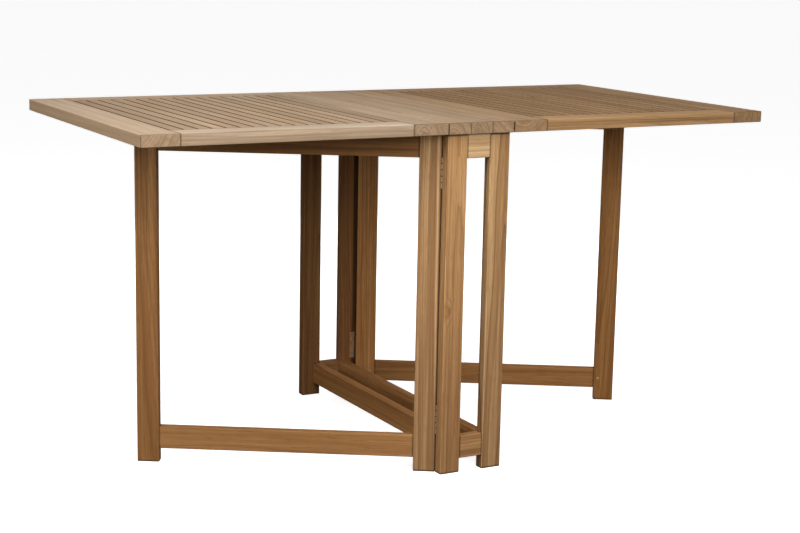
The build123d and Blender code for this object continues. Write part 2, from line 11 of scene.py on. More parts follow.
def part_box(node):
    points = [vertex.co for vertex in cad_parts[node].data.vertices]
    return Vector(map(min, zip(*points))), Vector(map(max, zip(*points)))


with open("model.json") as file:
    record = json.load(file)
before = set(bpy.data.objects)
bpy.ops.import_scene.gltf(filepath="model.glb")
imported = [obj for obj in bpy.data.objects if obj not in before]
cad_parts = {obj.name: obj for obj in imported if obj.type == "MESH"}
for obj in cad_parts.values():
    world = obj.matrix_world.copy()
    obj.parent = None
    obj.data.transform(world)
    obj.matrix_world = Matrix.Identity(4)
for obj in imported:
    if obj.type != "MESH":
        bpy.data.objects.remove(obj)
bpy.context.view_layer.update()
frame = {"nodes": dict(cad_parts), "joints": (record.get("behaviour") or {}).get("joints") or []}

bl_info = {
    "name": "Drop-leaf Garden Table",
    "version": (1, 0, 0),
    "blender": (4, 5, 0),
    "location": "3D View > Sidebar > Garden Table",
    "description": "Teak and hinge finishes, soft light and a camera for a gateleg garden table",
    "category": "Material",
}

slat_count = 17
slat_gap = 0.0035

# Each soft lamp: the setting of its power, where it stands and whether it gives a reflection.
soft_lamps = {
    "front_lamp": ("front", (-0.5, -2.8, 1.4), True),
    "left_lamp": ("left", (-2.4, -0.4, 1.35), True),
    "overhead_lamp": ("above", (-1.0, -0.8, 2.3), True),
    "right_lamp": ("right", (2.6, 0.9, 1.0), False),
    "rear_lamp": ("behind", (0.4, 2.8, 1.0), False),
}
lamp_target = (0, 0, 0.5)

# Each wide light: the setting of its strength, then azimuth, elevation and spread in degrees.
wide_lights = {
    "window": ("key", -10, 42, 40),
    "rear_light": ("back", 160, 40, 60),
}
wide_light_distance = 4

camera_place = (-1.7509, -3.2579, 1.0967)
camera_angles = (78.975, -1.119, -28.209)
sensor_width = 36.0
floor_reach = 60.0
floor_drop = 0.0002
backdrop_sides = 48
backdrop_foot = -1.0


# ---------------------------------------------------------------- what a user can change

def tint(name, description, default):
    """A colour setting."""
    return FloatVectorProperty(name=name, description=description, subtype="COLOR",
                               size=3, min=0.0, max=1.0, default=default)


def share(name, description, default):
    """A setting from none to full."""
    return FloatProperty(name=name, description=description, subtype="FACTOR",
                         min=0.0, max=1.0, default=default)


def length(name, description, default):
    """A size setting in metres."""
    return FloatProperty(name=name, description=description, subtype="DISTANCE",
                         unit="LENGTH", min=0.0, precision=5, default=default)


def strength(name, description, default):
    """Strength of a glow or of a distant light."""
    return FloatProperty(name=name, description=description, min=0.0, default=default)


def power(name, description, default):
    """Power of a lamp in watts."""
    return FloatProperty(name=name, description=description, subtype="POWER", unit="POWER",
                         min=0.0, default=default)


class TeakSettings(bpy.types.PropertyGroup):
    """Colours and grain of the table's teak"""

    pale: tint("Pale wood", "Palest wood of the legs and gates", (0.50, 0.278, 0.112))
    warm: tint("Warm wood", "Body of the legs and gates", (0.330, 0.162, 0.056))
    dark: tint("Latewood", "Dark lines of the legs and gates", (0.135, 0.052, 0.017))
    top_pale: tint("Top, pale wood", "Palest wood of the table top", (0.42, 0.285, 0.168))
    top_warm: tint("Top, warm wood", "Body of the table top", (0.285, 0.172, 0.085))
    top_dark: tint("Top, latewood", "Dark lines of the table top", (0.105, 0.054, 0.024))
    # Grey laid on the upward faces of the top: partly sun-bleaching, partly a painted sheen.
    grey: tint("Sun-bleached", "Faces of the top that the sun has bleached", (0.41, 0.335, 0.245))
    # Colour of the dark joints, gaps and hinge lines: grime, and painted shade where light does not
    # reach.
    joint_grime_and_shade: tint("Joint line", "Dirt in the joints and gaps", (0.030, 0.016, 0.008))
    ring: length("Ring spacing", "Distance from one growth ring to the next", 0.0075)
    relief: length("Grain depth", "Height of the open grain", 0.00025)
    # How far the top is greyed, by bleaching and by painted sheen.
    bleach_and_sheen: share("Bleaching", "How far the top has gone grey", 0.45)
    figure: share("Figure", "How strongly the rings show", 0.62)
    # How much darker the wood is made towards the ground.
    low_darkening: share("Damp", "How much darker the wood is near the ground", 0.27)


class FittingSettings(bpy.types.PropertyGroup):
    """Colours of the hinges and screws"""

    brass: tint("Brass", "Rubbed brass of the hinges", (0.80, 0.56, 0.32))
    tarnish: tint("Tarnish", "Brown film on the brass", (0.09, 0.042, 0.017))
    steel: tint("Steel", "Screws", (0.60, 0.58, 0.55))
    grime: share("Grime", "How much of the metal is tarnished", 0.4)
    knuckle: length("Knuckle", "Length of one knuckle of a gate hinge", 0.013)


class StageSettings(bpy.types.PropertyGroup):
    """Floor, light and camera"""

    floor: tint("Floor", "Colour of the floor", (0.86, 0.86, 0.86))
    backdrop: tint("Backdrop", "Colour beyond the floor", (0.90, 0.90, 0.90))
    floor_glow: strength("Floor glow", "Light of the floor's own, which keeps it pale", 0.78)
    front: power("Front lamp", "Power of the lamp in front", 48.0)
    left: power("Left lamp", "Power of the lamp on the left", 20.0)
    above: power("Overhead lamp", "Power of the lamp above", 43.5)
    right: power("Right lamp", "Power of the lamp on the right", 26.0)
    behind: power("Rear lamp", "Power of the lamp behind", 26.0)
    key: strength("Window", "Strength of the wide light from the front", 0.57)
    back: strength("Rear light", "Strength of the faint light from behind", 0.22)
    room: strength("Room", "Glow of the room all round", 0.035)
    lamp_size: length("Lamp size", "Width of each soft lamp", 1.4)
    lens: FloatProperty(name="Lens", description="Focal length of the camera", min=1.0,
                        subtype="DISTANCE_CAMERA", default=75.19)


# ---------------------------------------------------------------- shader sums

class Field:
    """What a socket holds at each point of a surface. Sums on it become Math nodes."""

    def __init__(self, finish, socket):
        self.finish = finish
        self.socket = socket

    def other(self, name):
        """Another output of the same node."""
        return Field(self.finish, self.socket.node.outputs[name])

    def sum(self, operation, *terms):
        return self.finish.node("ShaderNodeMath", {"operation": operation}, dict(enumerate(terms)))

    def __add__(self, term):
        return self.sum("ADD", self, term)

    def __radd__(self, term):
        return self.sum("ADD", term, self)

    def __sub__(self, term):
        return self.sum("SUBTRACT", self, term)

    def __rsub__(self, term):
        return self.sum("SUBTRACT", term, self)

    def __mul__(self, term):
        return self.sum("MULTIPLY", self, term)

    def __rmul__(self, term):
        return self.sum("MULTIPLY", term, self)

    def __truediv__(self, term):
        return self.sum("DIVIDE", self, term)

    def __pow__(self, term):
        return self.sum("POWER", self, term)

    def __mod__(self, term):
        return self.sum("FLOORED_MODULO", self, term)

    def __abs__(self):
        return self.sum("ABSOLUTE", self)

    def __floor__(self):
        return self.sum("FLOOR", self)

    def least(self, term):
        return self.sum("MINIMUM", self, term)

    def most(self, term):
        return self.sum("MAXIMUM", self, term)

    def between(self, low, high, start=0.0, end=1.0):
        """Start up to low, end from high on, and a smooth change from one to the other."""
        return self.finish.node("ShaderNodeMapRange", {"interpolation_type": "SMOOTHSTEP"}, {
            "Value": self, "From Min": low, "From Max": high, "To Min": start, "To Max": end})


class Finish:
    """The nodes of one material, or of the room's light, put together one by one."""

    def __init__(self, owner):
        owner.use_nodes = True
        self.owner = owner
        self.tree = owner.node_tree
        self.tree.nodes.clear()

    def node(self, kind, settings=None, sockets=None, output=0):
        """A node: its settings are set first, then the values or links of its sockets."""
        made = self.tree.nodes.new(kind)
        for key, value in (settings or {}).items():
            setattr(made, key, value)
        for key, value in (sockets or {}).items():
            if isinstance(value, Field):
                self.tree.links.new(value.socket, made.inputs[key])
            else:
                made.inputs[key].default_value = value
        return Field(self, made.outputs[output])

    def vector(self, operation, one, two):
        """Two colours or vectors put together."""
        return self.node("ShaderNodeVectorMath", {"operation": operation}, {0: one, 1: two})

    def axes(self, vector):
        """The three parts of a vector."""
        x = self.node("ShaderNodeSeparateXYZ", None, {0: vector})
        return x, x.other("Y"), x.other("Z")

    def noise(self, vector, stretch, detail=2.0, roughness=0.5):
        """Noise with that many waves to the metre along each axis."""
        return self.node("ShaderNodeTexNoise", {"noise_dimensions": "3D"}, {
            "Vector": self.vector("MULTIPLY", vector, stretch), "Scale": 1.0,
            "Detail": detail, "Roughness": roughness})

    def line_noise(self, value, detail):
        """Noise that changes with one value only."""
        return self.node("ShaderNodeTexNoise", {"noise_dimensions": "1D"}, {
            "W": value, "Scale": 1.0, "Detail": detail, "Roughness": 0.5})

    def blend(self, factor, one, two):
        """One colour where the factor is 0, the other where it is 1."""
        return self.node("ShaderNodeMix", {"data_type": "RGBA", "blend_type": "MIX"}, {
            0: factor, 6: one, 7: two}, 2)

    def surface(self, **sockets):
        """Close the material with its shader; words in a socket's name are joined by _."""
        named = {key.replace("_", " "): value for key, value in sockets.items()}
        shader = self.node("ShaderNodeBsdfPrincipled", None, named)
        return self.close(shader, "ShaderNodeOutputMaterial")

    def close(self, shader, kind):
        """Join the last node to the output and give back what it all belongs to."""
        out = self.tree.nodes.new(kind)
        self.tree.links.new(shader.socket, out.inputs["Surface"])
        return self.owner


def new_finish(name):
    return Finish(bpy.data.materials.new(name))


# ---------------------------------------------------------------- boards

# The turn that lays a board's grain along Z.
along = {
    "x": Matrix(((0, 1, 0), (0, 0, 1), (1, 0, 0))),
    "y": Matrix(((0, 0, 1), (1, 0, 0), (0, 1, 0))),
    "z": Matrix.Identity(3),
}
face_skin = 0.0002          # what counts as part of a board's flat face

warm_red = 0.3              # how far full warmth raises red
warm_blue = 0.5             # and how far it lowers blue

# Marks in the wood: waves to the metre across, over and along the grain, octaves, roughness,
# and the levels at which a mark starts and is full.
marks = {
    "streak": ((75, 75, 0.9), 3.0, 0.6, 0.50, 0.66),
    "flame": ((130, 130, 1.6), 2.0, 0.6, 0.42, 0.60),
    "thread": ((300, 300, 1.5), 1.0, 0.5, 0.64, 0.70),
    "pores": ((1150, 1150, 30), 1.0, 0.5, 0.60, 0.68),
    "blotch": ((6, 6, 3), 3.0, 0.5, 0.3, 0.7),
}
wander_waves, wander_reach = (7, 7, 0.9), (0.05, 0.05, 0)
ripple_waves, ripple_reach = (55, 55, 4.0), (0.004, 0.004, 0)
fibre_waves = (420, 420, 7)
hair_waves = (1500, 1500, 26)

# Bands by distance from the heart: waves to the metre, octaves, and the same two levels.
bandings = {
    "bands": (60, 2.0, 0.36, 0.64),
    "fine": (420, 2.0, 0.45, 0.70),
    "arcs": (130, 0.0, 0.52, 0.64),
}
band_shift = 50             # bands start anywhere along this many waves
shade_waves = 0.9           # the rings' darkness changes this often to a ring

half_way = (0.5, 0.5, 0.5)
seed_reach = 3              # how far apart two boards may be cut from the log
heart_side = (0.006, 0.040)
heart_depth = (0.008, 0.045)
lean_side, lean_depth = 0.020, 0.026

knot_shape = (1.0, 1.0, 0.55)
knot_reach, knot_bulge = 0.020, 0.011
knot_core = (0.001, 0.007, 0.35, 0.0)

end_facing = (0.72, 0.92)   # how far a face must point along the grain to be end grain
slat_spread = (0.4, 0.4, 3.0)
low_darkening_rise = (0.05, 0.60)    # heights between which the darkening fades out
arris_width = 0.0030
board_joint = (0.0003, 0.0014, 0.8, 0.0)
# how dark the painted shade on the sides of the slats is
slat_side_shade = 0.82
# how dark the painted shade, with some grime, along a hinge line is
hinge_grime_and_shade = 0.80

# How strongly each thing shows in the colour.
shows = {
    "bands": 0.80, "flame": 0.55, "late_on_end": 0.4, "fine": 0.35, "arcs": 0.55, "fibre": 0.28,
    "pores": 0.50, "blotch": 0.22, "slat_warm": 0.55, "slat_dark": 0.42, "end": 0.30,
    "arris_highlight": 0.25, "arris_shade": 0.35, "line": 0.7,
}
wood_refraction = 1.45
teak_shine = 0.25
peg_shine = 0.35


def closing_turn(node):
    """The turn that closes the gate a node belongs to; none for other nodes."""
    for joint in frame["joints"]:
        if joint["child"].endswith("_gate") and node.startswith(joint["child"]):
            return Matrix.Rotation(math.radians(joint["range_deg"][0]), 3, "Z")
    return Matrix.Identity(3)


def hinge_line(side):
    """Where a gate's hinge line stands on the floor plan."""
    return next(joint["pos_m"][:2] for joint in frame["joints"] if joint["child"] == side + "_gate")


class Board:
    """A board laid with its grain along Z: the turn, the shift and its half sizes."""

    def __init__(self, node, grain):
        self.node = node
        self.turn = along[grain] @ closing_turn(node)
        mesh = frame["nodes"][node].data
        spots = np.zeros(len(mesh.vertices) * 3)
        mesh.vertices.foreach_get("co", spots)
        laid = spots.reshape(-1, 3) @ np.array(self.turn).T
        low, high = laid.min(0), laid.max(0)
        face = laid[laid[:, 0] > high[0] - face_skin]
        low[2], high[2] = face[:, 2].min(), face[:, 2].max()
        self.middle = (low + high) / 2
        self.half = (high - low) / 2


def toned(colour, tone, warmth=0.0):
    """A colour made lighter or darker, and redder or greyer."""
    red, green, blue = (c * tone for c in colour)
    return red * (1 + warmth * warm_red), green, blue * (1 - warmth * warm_blue), 1.0


def distance(across, over):
    """How far a point lies from a line, from its distances along two square axes."""
    return (across * across + over * over) ** 0.5


def mark(wood, log, name):
    """One of the marks that run along the grain."""
    waves, octaves, roughness, low, high = marks[name]
    return wood.noise(log, waves, octaves, roughness).between(low, high)


def banding(wood, radius, name, shift):
    """One of the bands that lie round the heart."""
    waves, octaves, low, high = bandings[name]
    return wood.line_noise(radius * waves + shift, octaves).between(low, high)


def cut_place(rng):
    """Where in the log a piece was cut from."""
    return tuple(rng.uniform(-seed_reach, seed_reach) for _ in range(3))


def teak(board, tone=1.0, warmth=0.0, bleached_and_sheen=0.0, rows=None, figure=1.0, streaks=0.5,
         knot=None, heart=None, grimy_shaded_hinge=None, reach=0.005, end_line=0.0035, painted_side_light=0.0):
    """Teak for one board.

    rows gives the first edge, pitch and width of a row of slats, knot a place on the board laid
    out flat, heart where the middle of the tree lies from the middle of the board's end,
    grimy_shaded_hinge the upright line of a hinge, along which painted shade and grime darken the
    wood as far as reach from it, end_line how far the joint line of painted shade and grime comes
    in from the ends, and painted_side_light how much paler than the top the sides are painted, as
    painted light.
    """
    look = bpy.context.scene.table_teak
    rng = random.Random(board.node)
    wood = new_finish("teak_" + board.node)
    colours = (look.pale, look.warm, look.dark)
    if bleached_and_sheen:
        colours = (look.top_pale, look.top_warm, look.top_dark)
    pale, warm, dark = (toned(colour, tone, warmth) for colour in colours)
    grey, joint_grime_and_shade = toned(look.grey, tone, warmth), (*look.joint_grime_and_shade, 1.0)

    place = wood.node("ShaderNodeTexCoord", None, None, "Object")
    turn = tuple(board.turn.to_euler("XYZ"))
    laid = wood.node("ShaderNodeMapping", {"vector_type": "POINT"}, {
        "Vector": place, "Rotation": turn, "Location": tuple(-board.middle)})
    face = wood.node("ShaderNodeMapping", {"vector_type": "VECTOR"}, {
        "Vector": place.other("Normal"), "Rotation": turn})
    sideways, _, rise = wood.axes(place.other("Normal"))
    east, north, height = wood.axes(place)
    end = abs(wood.axes(face)[2]).between(*end_facing)
    across, over, down = wood.axes(laid)

    # Each slat of a row is its own stick, with its own grain and shade.
    lot = None
    if rows:
        first, pitch, width = rows
        step = (east - first) / pitch
        stick = math.floor(step)
        lot = wood.node("ShaderNodeTexWhiteNoise", {"noise_dimensions": "1D"}, {"W": stick + 0.5})
        spread = wood.vector("SUBTRACT", lot.other("Color"), half_way)
        laid = wood.vector("ADD", laid, wood.vector("MULTIPLY", spread, slat_spread))
        over = (step - stick) * pitch - width / 2
        half_over = width / 2
    else:
        half_over = board.half[1]

    log = wood.vector("ADD", laid, cut_place(rng))
    wander, ripple = (wood.vector("SUBTRACT", wood.noise(log, waves).other("Color"), half_way)
                      for waves in (wander_waves, ripple_waves))
    bent = wood.vector("ADD", wood.vector("MULTIPLY", wander, wander_reach),
                       wood.vector("MULTIPLY", ripple, ripple_reach))
    x, y, z = wood.axes(wood.vector("ADD", laid, bent))
    side = rng.choice((-1, 1)) * rng.uniform(*heart_side)
    depth = rng.choice((-1, 1)) * rng.uniform(*heart_depth)
    if heart:
        side, depth = heart
    x = x + (z * rng.uniform(-lean_side, lean_side) - side)
    y = y + (z * rng.uniform(-lean_depth, lean_depth) - depth)
    radius = distance(x, y)
    if knot:
        offset = wood.vector("MULTIPLY", wood.vector("SUBTRACT", laid, knot), knot_shape)
        swirl = wood.node("ShaderNodeVectorMath", {"operation": "LENGTH"}, {0: offset}, "Value")
        radius = radius + swirl.between(0.0, knot_reach, knot_bulge, 0.0)

    # Growth rings: a slow change of colour over many of them and a dark edge to each.
    turns = radius / look.ring + rng.uniform(0, band_shift)
    bands, fine, arcs = (banding(wood, radius, name, rng.uniform(0, band_shift))
                         for name in ("bands", "fine", "arcs"))
    shade = wood.line_noise(turns * shade_waves, 0.0).between(0.30, 0.65)
    late = (turns % 1.0) ** 3.0 * shade
    streak, flame, thread, blotch = (mark(wood, log, name)
                                     for name in ("streak", "flame", "thread", "blotch"))
    fibre = wood.noise(log, fibre_waves, 2.0, 0.6)
    hair = wood.noise(log, hair_waves, 1.0)
    pores = mark(wood, log, "pores") * (1.0 - late * 0.6)

    contrast = look.figure * figure
    layers = [
        (flame * shows["flame"], warm),
        ((late * (contrast * (1.0 + end * shows["late_on_end"]))).least(1.0), dark),
        (fine * (contrast * shows["fine"]), dark),
        (streak * streaks, dark),
        (thread * streaks, dark),
        (arcs * end * shows["arcs"], dark),
        (fibre.between(0.35, 0.75) * shows["fibre"], dark),
        (pores * shows["pores"], dark),
        (blotch * shows["blotch"], warm),
    ]
    if lot:
        layers += [(lot * shows["slat_warm"], warm),
                   (lot.between(0.50, 1.0) * shows["slat_dark"], dark)]
    if knot:
        layers.append((swirl.between(*knot_core), dark))
    layers.append((end * shows["end"], pale))

    # The wood is made darker towards the ground.
    layers.append((height.between(*low_darkening_rise, look.low_darkening, 0.0), dark))

    gap_across = board.half[0] - abs(across)
    gap_over = half_over - abs(over)
    gap_down = board.half[2] - abs(down)
    edge = gap_across.least(gap_over).most(gap_across.most(gap_over).least(gap_down))
    arris = edge.between(0.0, arris_width, 1.0, 0.0)
    # Dark joint line: painted shade, with some grime, near the ends where a board meets the next,
    # and along joints seen on end grain.
    line = gap_down.between(end_line * 0.2, end_line, 1.0, 0.0) * (1.0 - end)
    line = line.most(gap_over.between(*board_joint) * end)
    # Upward faces greyed: partly sun-bleaching, partly painted sheen.
    if bleached_and_sheen:
        bleach_and_sheen_mask = rise.between(0.55, 0.9) * (0.55 + blotch * 0.45) * (1.0 - late * 0.35)
        layers += [(bleach_and_sheen_mask * (look.bleach_and_sheen * bleached_and_sheen), grey),
                   # Sides painted paler than the top, as painted light falling on them.
                   (rise.between(0.3, 0.8, painted_side_light, 0.0) * (1.0 - end), pale)]
    # Painted highlight on the rounded edges, where they would catch the light, and painted shade on
    # the rest of them, split by patches of the blotch.
    layers += [(arris * blotch * shows["arris_highlight"], pale),
               (arris * (1.0 - blotch) * shows["arris_shade"], dark),
               (line * shows["line"], joint_grime_and_shade)]
    # Painted shade on the sides of the slats, which darkens the gaps between them.
    if rows:
        layers.append((abs(sideways).between(0.30, 0.62) * slat_side_shade, joint_grime_and_shade))
    # Painted shade, with some grime, in a band along the upright line of a hinge, where the gate
    # meets the leg.
    if grimy_shaded_hinge:
        off = distance(east - grimy_shaded_hinge[0], north - grimy_shaded_hinge[1])
        layers.append((off.between(reach * 0.55, reach, hinge_grime_and_shade, 0.0), joint_grime_and_shade))
    colour = wood.blend(bands * shows["bands"], pale, warm)
    for mask, laid_on in layers:
        colour = wood.blend(mask, colour, laid_on)

    rough = 0.58 + fibre * 0.14 + pores * 0.12 + end * 0.10 + line * 0.1
    grain = fibre * 0.5 + hair * 0.35 - pores * 0.9 - late * 0.25
    bump = wood.node("ShaderNodeBump", None, {
        "Strength": 0.55, "Distance": look.relief, "Height": grain})
    return wood.surface(Base_Color=colour, Roughness=rough, Normal=bump, IOR=wood_refraction,
                        Specular_IOR_Level=teak_shine)


def dress(node, material):
    """Put a material on a CAD node, in place of what it came with."""
    mesh = frame["nodes"][node].data
    mesh.materials.clear()
    mesh.materials.append(material)


# Each board's tone and warmth are matched to how it looks in place, so besides the board's own
# colour they hold painted light and shade: boards in shade are darker, boards in the light paler.
def teak_boards(*boards):
    """Give each board its own teak."""
    for node, grain, looks in boards:
        dress(node, teak(Board(node, grain), **looks))


# ---------------------------------------------------------------- pegs and fittings

peg_ring_waves = (420, 420, 420)
peg_pore_waves = (2600, 2600, 2600)
peg_tone, peg_pore_tone = 1.5, 1.2

plate_lines = (1800, 1800, 60)      # rolled plates: fine lines that run upright
screw_lines = (1200, 1200, 1200)
cloud_waves = (90, 90, 90)
fleck_waves = (900, 900, 900)
metal_relief = 0.00008
barrel_edge = (0.0050, 0.0058)      # a hinge barrel ends this far from its pin's line
shaded_leg_side = (0.0004, 0.0022)         # the barrel's side that faces the leg
knuckle_seam = (0.38, 0.46)         # share of half a knuckle where its painted shade and grime start and are full
knuckle_grime_and_shade = 0.92
steel_film = 0.35


def peg_end(node):
    """Pale pegs, seen end on, with open pores."""
    look = bpy.context.scene.table_teak
    rng = random.Random(node)
    wood = new_finish("peg_" + node)
    place = wood.node("ShaderNodeTexCoord", None, None, "Object")
    log = wood.vector("ADD", place, cut_place(rng))
    rings = wood.noise(log, peg_ring_waves, 2.0).between(0.35, 0.65)
    pores = wood.noise(log, peg_pore_waves, 1.0).between(0.58, 0.68)
    colour = wood.blend(rings * 0.6, toned(look.pale, peg_tone), toned(look.warm, peg_tone))
    colour = wood.blend(pores * 0.45, colour, toned(look.dark, peg_pore_tone))
    rough = 0.62 + pores * 0.15
    bump = wood.node("ShaderNodeBump", None, {
        "Strength": 0.5, "Distance": look.relief, "Height": rings - pores})
    return wood.surface(Base_Color=colour, Roughness=rough, Normal=bump, IOR=wood_refraction,
                        Specular_IOR_Level=peg_shine)


def metal(node, clean, film, stretch, knuckle=None):
    """Rubbed metal with a film in its hollows and fine lines from rolling.

    knuckle is the length of one knuckle of a gate hinge; painted shade and grime darken the seams
    between them.
    """
    look = bpy.context.scene.table_fittings
    rng = random.Random(node)
    skin = new_finish("metal_" + node)
    place = skin.node("ShaderNodeTexCoord", None, None, "Object")
    cast = skin.vector("ADD", place, cut_place(rng))
    cloud = skin.noise(cast, cloud_waves, 4.0, 0.6).between(0.62 - look.grime * 0.3, 0.80)
    fleck = skin.noise(cast, fleck_waves, 2.0).between(0.55, 0.72)
    lines = skin.noise(cast, stretch, 2.0, 0.6)
    film_mask = (cloud * 0.75 + fleck * 0.35).least(1.0)
    colour = skin.blend(film_mask, clean, film)
    if knuckle:
        low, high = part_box(node)
        east, north, height = skin.axes(place)
        pin_x, pin_y = (abs(part) for part in hinge_line("left"))
        inward, off_line = pin_x - abs(east), pin_y - abs(north)
        barrel = distance(inward, off_line).between(*barrel_edge, 1.0, 0.0)
        level = (height - low.z).least(high.z - height)
        seam = abs((level / knuckle) % 1.0 - 0.5).between(*knuckle_seam)
        # Painted shade, with some grime, in the seams between knuckles, and painted shade on the
        # barrel's side that faces the leg.
        seam_grime_and_shade = seam.most(inward.between(*shaded_leg_side)) * barrel * knuckle_grime_and_shade
        colour = skin.blend(seam_grime_and_shade, colour, (*bpy.context.scene.table_teak.joint_grime_and_shade, 1.0))
        film_mask = film_mask.most(seam_grime_and_shade)
    rough = 0.40 + film_mask * 0.25 + lines * 0.12
    metallic = 1.0 - film_mask * 0.45
    bump = skin.node("ShaderNodeBump", None, {
        "Strength": 0.35, "Distance": metal_relief, "Height": lines - fleck * 0.6})
    return skin.surface(Base_Color=colour, Roughness=rough, Metallic=metallic, Normal=bump)


# ---------------------------------------------------------------- operators

class TABLE_OT_centre_legs(bpy.types.Operator):
    """Teak for the four legs of the centre frame"""

    bl_idname = "garden_table.centre_legs"
    bl_label = "Centre legs"

    def execute(self, context):
        left_hinge, right_hinge = hinge_line("left"), hinge_line("right")
        teak_boards(
            # Dark bands along the hinge lines are painted shade with some grime; the right one is
            # wider, for the deep gap beside it.
            ("front_left_leg", "z", {"tone": 1.30, "warmth": -0.1, "knot": (-0.010, -0.012, -0.008),
                                     "grimy_shaded_hinge": left_hinge, "end_line": 0.0045}),
            ("front_right_leg", "z", {"tone": 1.48, "warmth": -0.35, "figure": 1.3,
                                      "end_line": 0.0045}),
            # The rear legs stand in the shade under the top; part of their darkness is painted
            # shade.
            ("rear_left_leg", "z", {"tone": 0.64, "warmth": 0.35}),
            ("rear_right_leg", "z", {"tone": 0.98, "warmth": 0.3, "grimy_shaded_hinge": right_hinge,
                                     "reach": 0.017}),
        )
        return {"FINISHED"}


class TABLE_OT_frame_rails(bpy.types.Operator):
    """Teak for the rails of the centre frame"""

    bl_idname = "garden_table.frame_rails"
    bl_label = "Frame rails"

    def execute(self, context):
        teak_boards(
            ("front_top_rail", "x", {"tone": 2.1, "warmth": -0.65, "streaks": 0.2}),
            ("front_bottom_rail", "x", {"tone": 1.35, "warmth": -0.1}),
            ("rear_top_rail", "x", {"tone": 1.1}),
            ("rear_bottom_rail", "x", {"tone": 1.2}),
            ("left_top_rail", "y", {"tone": 1.0}),
            ("left_bottom_rail", "y", {"tone": 1.30, "warmth": 0.3}),
            ("right_top_rail", "y", {"tone": 1.0}),
            ("right_bottom_rail", "y", {"tone": 1.30, "warmth": 0.25}),
        )
        return {"FINISHED"}


class TABLE_OT_centre_boards(bpy.types.Operator):
    """Teak for the boards of the fixed centre top"""

    bl_idname = "garden_table.centre_boards"
    bl_label = "Centre top"

    def execute(self, context):
        teak_boards(
            ("centre_board_left", "y", {"tone": 1.10, "bleached_and_sheen": 0.8}),
            ("centre_board_middle", "y", {"tone": 1.00, "bleached_and_sheen": 0.8, "heart": (0.002, 0.004)}),
            ("centre_board_right", "y", {"tone": 1.08, "bleached_and_sheen": 0.8}),
        )
        return {"FINISHED"}


class TABLE_OT_leaf_stiles(bpy.types.Operator):
    """Teak for the stiles of both leaves"""

    bl_idname = "garden_table.leaf_stiles"
    bl_label = "Leaf stiles"

    def execute(self, context):
        teak_boards(
            ("left_leaf_outer_stile", "y", {"tone": 1.16, "warmth": -0.1, "bleached_and_sheen": 1.0,
                                            "painted_side_light": 0.55, "heart": (0.045, -0.09)}),
            ("left_leaf_inner_stile", "y", {"tone": 1.10, "warmth": -0.1, "bleached_and_sheen": 0.9,
                                            "heart": (-0.03, -0.02)}),
            ("right_leaf_outer_stile", "y", {"tone": 0.98, "warmth": 0.3, "bleached_and_sheen": 0.5}),
            ("right_leaf_inner_stile", "y", {"tone": 1.0, "warmth": 0.2, "bleached_and_sheen": 0.7}),
        )
        return {"FINISHED"}


class TABLE_OT_leaf_rails(bpy.types.Operator):
    """Teak for the front and rear rails of both leaves"""

    bl_idname = "garden_table.leaf_rails"
    bl_label = "Leaf rails"

    def execute(self, context):
        teak_boards(
            ("left_leaf_front_rail", "x", {"tone": 1.36, "warmth": -0.3, "bleached_and_sheen": 1.0,
                                           "painted_side_light": 0.25}),
            ("left_leaf_rear_rail", "x", {"tone": 1.1, "bleached_and_sheen": 0.9}),
            ("right_leaf_front_rail", "x", {"tone": 1.18, "warmth": 0.4, "bleached_and_sheen": 0.5,
                                            "painted_side_light": 0.2, "streaks": 0.9}),
            ("right_leaf_rear_rail", "x", {"tone": 1.0, "warmth": 0.2, "bleached_and_sheen": 0.6}),
        )
        return {"FINISHED"}


class TABLE_OT_slats(bpy.types.Operator):
    """Teak for the slats of both leaves, each with its own grain and shade"""

    bl_idname = "garden_table.slats"
    bl_label = "Slats"

    def execute(self, context):
        # The right leaf's slats are darker and less grey, partly as painted shade and less painted
        # sheen.
        looks = {"left": {"tone": 1.08, "bleached_and_sheen": 0.9},
                 "right": {"tone": 0.95, "warmth": 0.35, "bleached_and_sheen": 0.5}}
        for side, shades in looks.items():
            node = side + "_leaf_slats"
            low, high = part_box(node)
            pitch = (high.x - low.x + slat_gap) / slat_count
            rows = (low.x, pitch, pitch - slat_gap)
            dress(node, teak(Board(node, "y"), rows=rows, streaks=0.4, **shades))
        return {"FINISHED"}


class TABLE_OT_leaf_undersides(bpy.types.Operator):
    """Teak for the battens and stop blocks under the leaves"""

    bl_idname = "garden_table.leaf_undersides"
    bl_label = "Battens and stop blocks"

    def execute(self, context):
        for side in ("left", "right"):
            teak_boards(
                (side + "_leaf_batten", "x", {"tone": 0.95}),
                (side + "_leaf_stop_block", "x", {"tone": 1.0}),
            )
        return {"FINISHED"}


class TABLE_OT_gate_posts(bpy.types.Operator):
    """Teak for the uprights of both gates"""

    bl_idname = "garden_table.gate_posts"
    bl_label = "Gate posts"

    def execute(self, context):
        teak_boards(
            # Dark bands along the hinge lines are painted shade with some grime.
            ("left_gate_hinge_post", "z", {"tone": 1.27, "warmth": -0.3,
                                           "grimy_shaded_hinge": hinge_line("left"), "end_line": 0.0045}),
            ("left_gate_outer_leg", "z", {"tone": 0.90, "warmth": 0.25}),
            ("right_gate_hinge_post", "z", {"tone": 1.75, "warmth": 0.25,
                                            "grimy_shaded_hinge": hinge_line("right")}),
            ("right_gate_outer_leg", "z", {"tone": 0.90, "warmth": 0.5}),
        )
        return {"FINISHED"}


